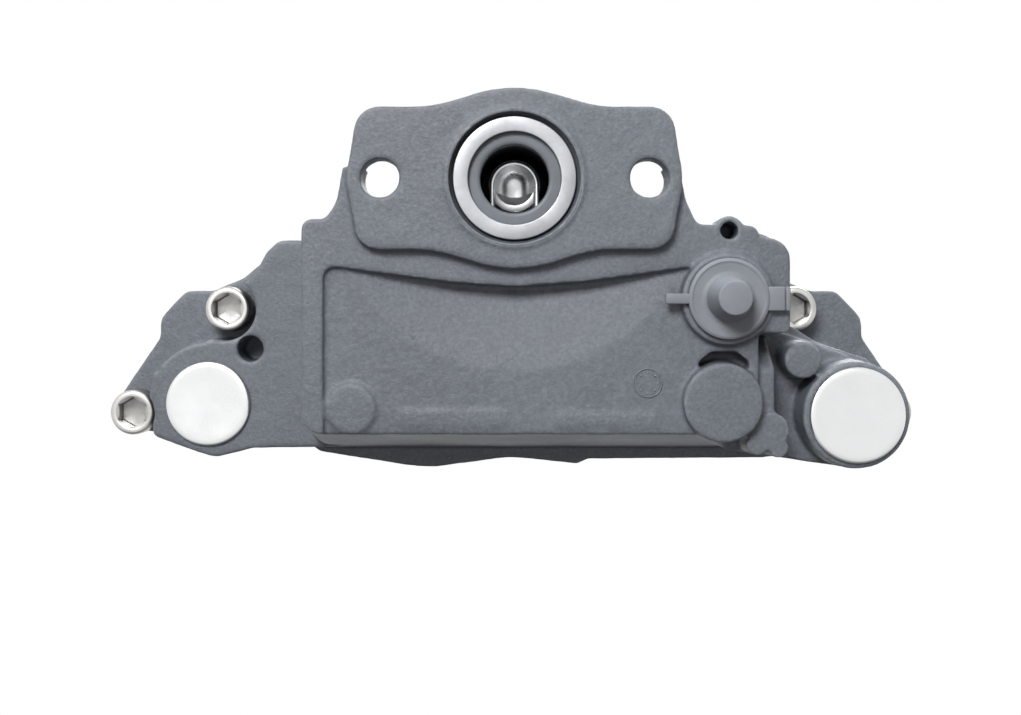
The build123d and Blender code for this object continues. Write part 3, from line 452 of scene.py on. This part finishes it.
def edged_copy(node, name, width):
    """A CAD node with its sharp edges broken by a small bevel."""
    work = node_copy(node)
    made = bmesh.new()
    made.from_mesh(work.data)
    bmesh.ops.remove_doubles(made, verts=made.verts, dist=SAME_POINT)
    flat = math.radians(FLAT_ANGLE)
    bmesh.ops.dissolve_limit(made, angle_limit=flat, verts=made.verts, edges=made.edges)
    made.to_mesh(work.data)
    made.free()
    bevel = work.modifiers.new("edges", "BEVEL")
    bevel.width = width
    bevel.segments = BEVEL_SEGMENTS
    bevel.limit_method = "ANGLE"
    bevel.angle_limit = math.radians(BEVEL_FROM_ANGLE)
    bevel.use_clamp_overlap = True
    work.modifiers.new("triangles", "TRIANGULATE")
    piece = baked(work, name)
    shade_by_angle(piece, BEVEL_SHADE_ANGLE)
    return finish_piece(piece, node)


def rounded_profile(points):
    """Profile of (radius, depth, fillet) corners with each fillet turned into a short arc."""
    result = []
    for index, (r, y, fillet) in enumerate(points):
        if fillet == 0 or index in (0, len(points) - 1):
            result.append((r, y))
            continue
        corner = Vector((r, y))
        before = Vector(points[index - 1][:2]) - corner
        after = Vector(points[index + 1][:2]) - corner
        cut = min(fillet, before.length * 0.45, after.length * 0.45)
        start = corner + before.normalized() * cut
        end = corner + after.normalized() * cut
        for step in range(FILLET_STEPS + 1):
            t = step / FILLET_STEPS
            point = start * (1 - t) ** 2 + corner * 2 * t * (1 - t) + end * t ** 2
            result.append((point.x, point.y))
    return result


def lathe_into(made, x, z, profile, segments):
    """Adds a surface turned about an axis along Y to a bmesh."""
    rings = []
    for r, y in profile:
        if r < 1e-7:
            rings.append([made.verts.new((x, y, z))])
            continue
        ring = []
        for step in range(segments):
            angle = 2 * math.pi * step / segments
            ring.append(made.verts.new((x + r * math.cos(angle), y, z + r * math.sin(angle))))
        rings.append(ring)
    for first, second in zip(rings, rings[1:]):
        for step in range(segments):
            after = (step + 1) % segments
            if len(first) == 1:
                made.faces.new((first[0], second[after], second[step]))
            elif len(second) == 1:
                made.faces.new((first[step], first[after], second[0]))
            else:
                made.faces.new((first[step], first[after], second[after], second[step]))


def mesh_piece(name, made, angle=35):
    bmesh.ops.recalc_face_normals(made, faces=made.faces)
    mesh = bpy.data.meshes.new(name)
    made.to_mesh(mesh)
    made.free()
    obj = new_object(name, mesh)
    shade_by_angle(obj, angle)
    return obj


def turned(name, x, z, profile, segments, closed=False):
    """A turned piece from a rounded profile; closed joins the profile's two ends."""
    made = bmesh.new()
    points = rounded_profile(profile)
    if closed:
        points.append(points[0])
    lathe_into(made, x, z, points, segments)
    if closed:
        bmesh.ops.remove_doubles(made, verts=made.verts, dist=1e-7)
    return mesh_piece(name, made)


def middle(node):
    """X and Z of the middle of a node."""
    low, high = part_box(node)
    return (low[0] + high[0]) / 2, (low[2] + high[2]) / 2


def block_into(made, low, high, radius):
    """Adds a box with rounded edges to a bmesh."""
    size = [high[axis] - low[axis] for axis in range(3)]
    centre = [(high[axis] + low[axis]) / 2 for axis in range(3)]
    matrix = Matrix.Translation(centre) @ Matrix.Diagonal((*size, 1))
    cube = bmesh.ops.create_cube(made, size=1, matrix=matrix)
    edges = {edge for vert in cube["verts"] for edge in vert.link_edges}
    bmesh.ops.bevel(
        made, geom=list(edges), offset=radius, segments=BLOCK_SEGMENTS, affect="EDGES", profile=0.5
    )


def islands(node):
    """Lowest and highest corners of each separate solid in a node."""
    made = bmesh.new()
    made.from_mesh(NODES[node].data)
    bmesh.ops.remove_doubles(made, verts=made.verts, dist=SAME_POINT)
    left = set(made.verts)
    boxes = []
    while left:
        stack = [left.pop()]
        found = []
        while stack:
            vert = stack.pop()
            found.append(vert.co.copy())
            for edge in vert.link_edges:
                other = edge.other_vert(vert)
                if other in left:
                    left.remove(other)
                    stack.append(other)
        low = [min(point[axis] for point in found) for axis in range(3)]
        high = [max(point[axis] for point in found) for axis in range(3)]
        boxes.append((low, high))
    made.free()
    return sorted(boxes)


# ---- pieces ---------------------------------------------------------------------------
PANEL_DEPTH = 9.0 * MM                # the box's front panel, from the flange face
CLOCK_RING = (62.0, -27.6, 6.4)       # x, height and radius in millimetres
CLOCK_TICKS = 8
CUP_DEPTH = 36.4 * MM                 # front of the lever's cup, from the flange face
CUP_STRETCH = 9.0 * MM                # how far its bowl is drawn out down the arm
CUP_STEPS = 96
FINE_STEPS = 160                      # points round the large turned pieces
BOOT_STEPS = 96
HEX_FLAT_R = 7.0 * MM
BOLT_HEAD_HEIGHT = 16.0 * MM
BOLT_STEPS = 144                      # points round a bolt head, a multiple of six
KNURLS = 72
SPRING_WIRE_R = 0.9 * MM
SPRING_TURNS = 8
SPRING_STEPS = 20                     # points in each turn
SPRING_END_TURNS = 0.9                # turns that lie flat at each end
BOOT_FOLDS = 2
BOOT_WALL = 0.7 * MM


def end_cap(node):
    """Pressed cup: rounded rim, very slightly dished face, and a skirt that goes into the bore."""
    x, z = middle(node)
    low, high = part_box(node)
    r = (high[0] - low[0]) / 2
    y = low[1]
    skirt_r = 17.95 * MM
    wall = 1.6 * MM
    profile = [
        (0, y + 0.35 * MM, 0),
        (r * 0.55, y + 0.30 * MM, 0.004),
        (r * 0.90, y + 0.02 * MM, 0.003),
        (r, y + 0.4 * MM, 1.3 * MM),
        (r, y + 3.0 * MM, 0.3 * MM),
        (skirt_r, y + 3.0 * MM, 0.2 * MM),
        (skirt_r, high[1], 0.5 * MM),
        (skirt_r - wall, high[1], 0.4 * MM),
        (skirt_r - wall, y + 2.2 * MM, 1.0 * MM),
        (0, y + 2.2 * MM, 0),
    ]
    return finish_piece(turned(f"{node}_pressed", x, z, profile, FINE_STEPS), node)


def port_rings():
    """The port's seat ring, the shield inside it, and the cast lip round them."""
    x, z = middle("port_seat_ring")
    low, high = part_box("port_seat_ring")
    outer = (high[0] - low[0]) / 2
    inner_low, inner_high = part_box("port_inner_ring")
    inner = (inner_high[0] - inner_low[0]) / 2
    hole = 15.55 * MM
    seat = [
        (inner, high[1], 0), (inner, low[1], 0.5 * MM), (outer, low[1], 0.6 * MM), (outer, high[1], 0),
    ]
    finish_piece(turned("port_seat_turned", x, z, seat, FINE_STEPS, closed=True), "port_seat_ring")
    y = inner_low[1]
    shield = [
        (hole, inner_high[1], 0), (hole, y + 0.5 * MM, 0.8 * MM), (hole + 1.2 * MM, y, 0.8 * MM),
        (inner, y, 0.2 * MM), (inner, inner_high[1], 0),
    ]
    finish_piece(turned("port_shield", x, z, shield, FINE_STEPS, closed=True), "port_inner_ring")
    face = flange_face_y()
    lip = [
        (outer + 1.9 * MM, face + 2.8 * MM, 0), (outer + 1.7 * MM, face - 0.9 * MM, 0.8 * MM),
        (outer + 3.3 * MM, face - 0.9 * MM, 0.8 * MM), (outer + 4.2 * MM, face + 1.2 * MM, 0.2 * MM),
    ]
    extra_piece(turned("port_lip", x, z, lip, FINE_STEPS, closed=True), "caliper", "cast_paint")


def lever_cup():
    """Polished cup on the lever's end: round at the top, with its bowl drawn out down the arm."""
    x, z = middle("port_seat_ring")
    y = flange_face_y() + CUP_DEPTH
    profile = rounded_profile([
        (10.6 * MM, y + 14 * MM, 0),
        (11.9 * MM, y + 1.0 * MM, 1.4 * MM),
        (11.0 * MM, y, 0.6 * MM),
        (9.7 * MM, y + 0.3 * MM, 0.5 * MM),
        (8.5 * MM, y + 2.6 * MM, 1.2 * MM),
        (6.8 * MM, y + 5.0 * MM, 1.4 * MM),
        (4.2 * MM, y + 6.7 * MM, 1.4 * MM),
        (0.6 * MM, y + 7.3 * MM, 0),
    ])
    made = bmesh.new()
    rings = []
    for r, depth in profile:
        ring = []
        for step in range(CUP_STEPS):
            angle = 2 * math.pi * (step + 0.5) / CUP_STEPS
            drop = CUP_STRETCH if math.sin(angle) < 0 else 0
            height = z + r * math.sin(angle) - drop
            ring.append(made.verts.new((x + r * math.cos(angle), depth, height)))
        rings.append(ring)
    for first, second in zip(rings, rings[1:]):
        for step in range(CUP_STEPS):
            after = (step + 1) % CUP_STEPS
            made.faces.new((first[step], first[after], second[after], second[step]))
    made.faces.new(rings[-1])
    return extra_piece(mesh_piece("lever_cup_polished", made, 40), "lever", "bearing_steel")


def clock_ring():
    """A plain raised ring with short ticks, cast on the box's panel."""
    y = flange_face_y() + PANEL_DEPTH
    ring_x, ring_z, ring_r = (value * MM for value in CLOCK_RING)
    ring_z += CAMERA_HEIGHT
    made = bmesh.new()
    band = [(ring_r + 0.5 * MM, y + 1 * MM, 0), (ring_r + 0.35 * MM, y - 0.5 * MM, 0.4 * MM),
            (ring_r - 0.35 * MM, y - 0.5 * MM, 0.4 * MM), (ring_r - 0.5 * MM, y + 1 * MM, 0)]
    lathe_into(made, ring_x, ring_z, rounded_profile(band), 64)
    for tick in range(CLOCK_TICKS):
        angle = 2 * math.pi * tick / CLOCK_TICKS
        cx = ring_x + 0.72 * ring_r * math.cos(angle)
        cz = ring_z + 0.72 * ring_r * math.sin(angle)
        half = 0.4 * MM
        block_into(made, (cx - half, y - 0.4 * MM, cz - half), (cx + half, y + 1 * MM, cz + half), 0.2 * MM)
    extra_piece(mesh_piece("plain_clock_ring", made, 50), "caliper", "cast_paint")


def hex_radius(angle):
    """Radius of a hexagon at an angle."""
    return HEX_FLAT_R / math.cos((angle + math.pi / 6) % (math.pi / 3) - math.pi / 6)


def socket_bolt_into(made, low, high, seat_y):
    """Socket-head cap screw: knurled head, chamfered rim, hexagon socket with a drilled bottom."""
    x = (low[0] + high[0]) / 2
    z = (low[2] + high[2]) / 2
    head_r = (high[0] - low[0]) / 2
    top = low[1]
    shank_r = 8.0 * MM

    def ring(y, radius_at):
        verts = []
        for step in range(BOLT_STEPS):
            angle = 2 * math.pi * step / BOLT_STEPS
            r = radius_at(angle, step)
            verts.append(made.verts.new((x + r * math.cos(angle), y, z + r * math.sin(angle))))
        return verts

    def knurl(angle, step):
        return head_r - (0.28 * MM if step % (BOLT_STEPS // KNURLS) else 0)

    rings = [
        ring(top + 8.6 * MM, lambda angle, step: 3.0 * MM),
        ring(top + 8.0 * MM, lambda angle, step: hex_radius(angle) * 0.96),
        ring(top + 7.6 * MM, lambda angle, step: hex_radius(angle)),
        ring(top + 0.9 * MM, lambda angle, step: hex_radius(angle)),
        ring(top + 0.12 * MM, lambda angle, step: 8.5 * MM),
        ring(top, lambda angle, step: 8.8 * MM),
        ring(top, lambda angle, step: head_r - 1.7 * MM),
        ring(top + 0.18 * MM, lambda angle, step: head_r - 1.2 * MM),
        ring(top + 0.75 * MM, lambda angle, step: head_r - 0.45 * MM),
        ring(top + 1.5 * MM, lambda angle, step: head_r - 0.22 * MM),
        ring(top + 2.1 * MM, knurl),
        ring(seat_y - 2.2 * MM, knurl),
        ring(seat_y - 1.6 * MM, lambda angle, step: head_r - 0.3 * MM),
        ring(seat_y - 0.5 * MM, lambda angle, step: head_r - 0.35 * MM),
        ring(seat_y, lambda angle, step: head_r - 0.9 * MM),
        ring(seat_y, lambda angle, step: shank_r),
        ring(high[1] - 1.0 * MM, lambda angle, step: shank_r),
        ring(high[1], lambda angle, step: shank_r - 1.0 * MM),
    ]
    made.faces.new(rings[0])
    made.faces.new(list(reversed(rings[-1])))
    for first, second in zip(rings, rings[1:]):
        for step in range(BOLT_STEPS):
            after = (step + 1) % BOLT_STEPS
            made.faces.new((first[step], first[after], second[after], second[step]))


def bridge_bolts():
    made = bmesh.new()
    for low, high in islands("bridge_bolts"):
        socket_bolt_into(made, low, high, low[1] + BOLT_HEAD_HEIGHT)
    return finish_piece(mesh_piece("bridge_bolts_knurled", made, 30), "bridge_bolts")


def adjuster_cap():
    """Moulded rubber cap with a soft-edged knob, a thin rim and two pull tabs."""
    x, z = middle("stem_bush")
    low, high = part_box("adjuster_cap")
    y = low[1] + 17.5 * MM
    rim_r = (high[2] - low[2]) / 2
    profile = [
        (0, low[1], 0),
        (7.5 * MM, low[1], 0.7 * MM),
        (10.3 * MM, y - 0.4 * MM, 0.5 * MM),
        (12.0 * MM, y + 0.5 * MM, 0.8 * MM),
        (rim_r - 2.2 * MM, y + 0.35 * MM, 0.5 * MM),
        (rim_r - 1.5 * MM, y - 0.05 * MM, 0.3 * MM),
        (rim_r, y + 0.5 * MM, 0.8 * MM),
        (rim_r, y + 3.0 * MM, 0.6 * MM),
        (16.6 * MM, y + 3.0 * MM, 0.5 * MM),
        (16.0 * MM, high[1], 0.4 * MM),
        (13.6 * MM, high[1], 0.4 * MM),
        (13.6 * MM, y + 5.5 * MM, 1 * MM),
        (8.2 * MM, y + 4.5 * MM, 1 * MM),
        (5.6 * MM, low[1] + 4.0 * MM, 0.5 * MM),
        (0, low[1] + 4.0 * MM, 0),
    ]
    made = bmesh.new()
    lathe_into(made, x, z, rounded_profile(profile), 144)
    tabs = (
        # from and to along X; then front, back, half height and edge radius, in millimetres
        (low[0], x - 16 * MM, 0.4, 3.1, 2.3, 0.5),
        (x + 16 * MM, high[0] - 2.4 * MM, 0.7, 2.8, 5.4, 0.5),
        (high[0] - 2.0 * MM, high[0], 0.7, 2.8, 5.4, 0.4),
        (high[0] - 3.4 * MM, high[0] - 1.0 * MM, 2.0, 2.7, 5.0, 0.2),
    )
    for left, right, front, back, half, edge in tabs:
        start = (left, y + front * MM, z - half * MM)
        end = (right, y + back * MM, z + half * MM)
        block_into(made, start, end, edge * MM)
    return finish_piece(mesh_piece("adjuster_cap_moulded", made, 40), "adjuster_cap")


def coil_into(curve, low, high):
    """Adds one coil along Y to a curve, with its end turns flat."""
    x = (low[0] + high[0]) / 2
    z = (low[2] + high[2]) / 2
    r = (high[0] - low[0]) / 2 - SPRING_WIRE_R
    start = low[1] + SPRING_WIRE_R
    end = high[1] - SPRING_WIRE_R
    count = SPRING_TURNS * SPRING_STEPS + 1
    spline = curve.splines.new("POLY")
    spline.points.add(count - 1)
    for index in range(count):
        t = index / (count - 1)
        angle = 2 * math.pi * SPRING_TURNS * t
        climbed = (t * SPRING_TURNS - SPRING_END_TURNS) / (SPRING_TURNS - 2 * SPRING_END_TURNS)
        y = start + (end - start) * min(max(climbed, 0), 1)
        spline.points[index].co = (x + r * math.cos(angle), y, z + r * math.sin(angle), 1)


def return_springs():
    """Coil springs in the places of their CAD stand-ins."""
    curve = bpy.data.curves.new("return_springs_coils", "CURVE")
    curve.dimensions = "3D"
    curve.bevel_depth = SPRING_WIRE_R
    curve.bevel_resolution = 3
    curve.use_fill_caps = True
    for low, high in islands("return_springs"):
        coil_into(curve, low, high)
    piece = baked(new_object("return_springs_curve", curve), "return_springs_coils")
    piece.data.polygons.foreach_set("use_smooth", [True] * len(piece.data.polygons))
    finish_piece(piece, "return_springs")
    low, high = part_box("return_springs")
    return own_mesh(piece)


def tappet_boot(node):
    """Short bellows between the cover plate and a tappet's head."""
    x, z = middle(node)
    low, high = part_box(node)
    r = (high[0] - low[0]) / 2
    profile = [(r - 5.6 * MM, low[1], 0), (r, low[1], 0.4 * MM), (r, low[1] + BOOT_WALL, 0.4 * MM)]
    inner_r = r - 3.2 * MM
    pitch = (high[1] - low[1] - 2 * BOOT_WALL) / BOOT_FOLDS
    for fold in range(BOOT_FOLDS):
        y = low[1] + BOOT_WALL + fold * pitch
        profile.append((inner_r, y + pitch * 0.45, 0.5 * MM))
        profile.append((r, y + pitch, 0.5 * MM))
    profile += [(r - 7.5 * MM, high[1] - BOOT_WALL, 0.4 * MM), (r - 8.4 * MM, high[1], 0.4 * MM)]
    profile += [(r - 8.4 * MM, high[1] - 2 * BOOT_WALL, 0.3 * MM)]
    return finish_piece(turned(f"{node}_bellows", x, z, profile, BOOT_STEPS, closed=True), node)


def use_cad_nodes(nodes):
    """CAD nodes whose own shape is right, with their finish."""
    for node in nodes:
        obj = NODES[node]
        for slot in obj.material_slots:
            slot.material = MATERIALS[SLOT_OF[node]]


# ---- build ----------------------------------------------------------------------------
add_camera()
add_world()
add_lights()
bpy.context.scene.view_settings.view_transform = "Standard"

cast_copy("housing", "housing_casting", 0.95 * MM, 6, 190000)
cast_copy("bridge", "bridge_casting", 1.4 * MM, 7, 120000)
cast_copy("carrier", "carrier_casting", 1.3 * MM, 5, 90000)
for cap in ("end_cap_long", "end_cap_short"):
    end_cap(cap)
port_rings()
bridge_bolts()
adjuster_cap()
lever_cup()
clock_ring()
return_springs()
for boot in ("tappet_boot_left", "tappet_boot_right"):
    tappet_boot(boot)

EDGED = {                             # CAD nodes whose edges are broken, and by how many millimetres
    "operating_lever": 0.8, "crosshead": 0.8, "cover_plate": 0.4, "tappet_left": 0.5, "tappet_right": 0.5,
    "inner_backing_plate": 0.5, "outer_backing_plate": 0.5, "inner_friction_block": 0.8,
    "outer_friction_block": 0.8, "pad_retainer_strap": 0.3, "pad_retainer_screw": 0.3,
    "inner_pad_spring": 0.2, "outer_pad_spring": 0.2, "cover_screws": 0.3, "sleeve_bolts": 0.4,
}
for edged, bevel_mm in EDGED.items():
    edged_copy(edged, f"{edged}_finished", bevel_mm * MM)

KEPT = [node for node in NODES if not NODES[node].hide_render and node in SLOT_OF]
use_cad_nodes(KEPT)
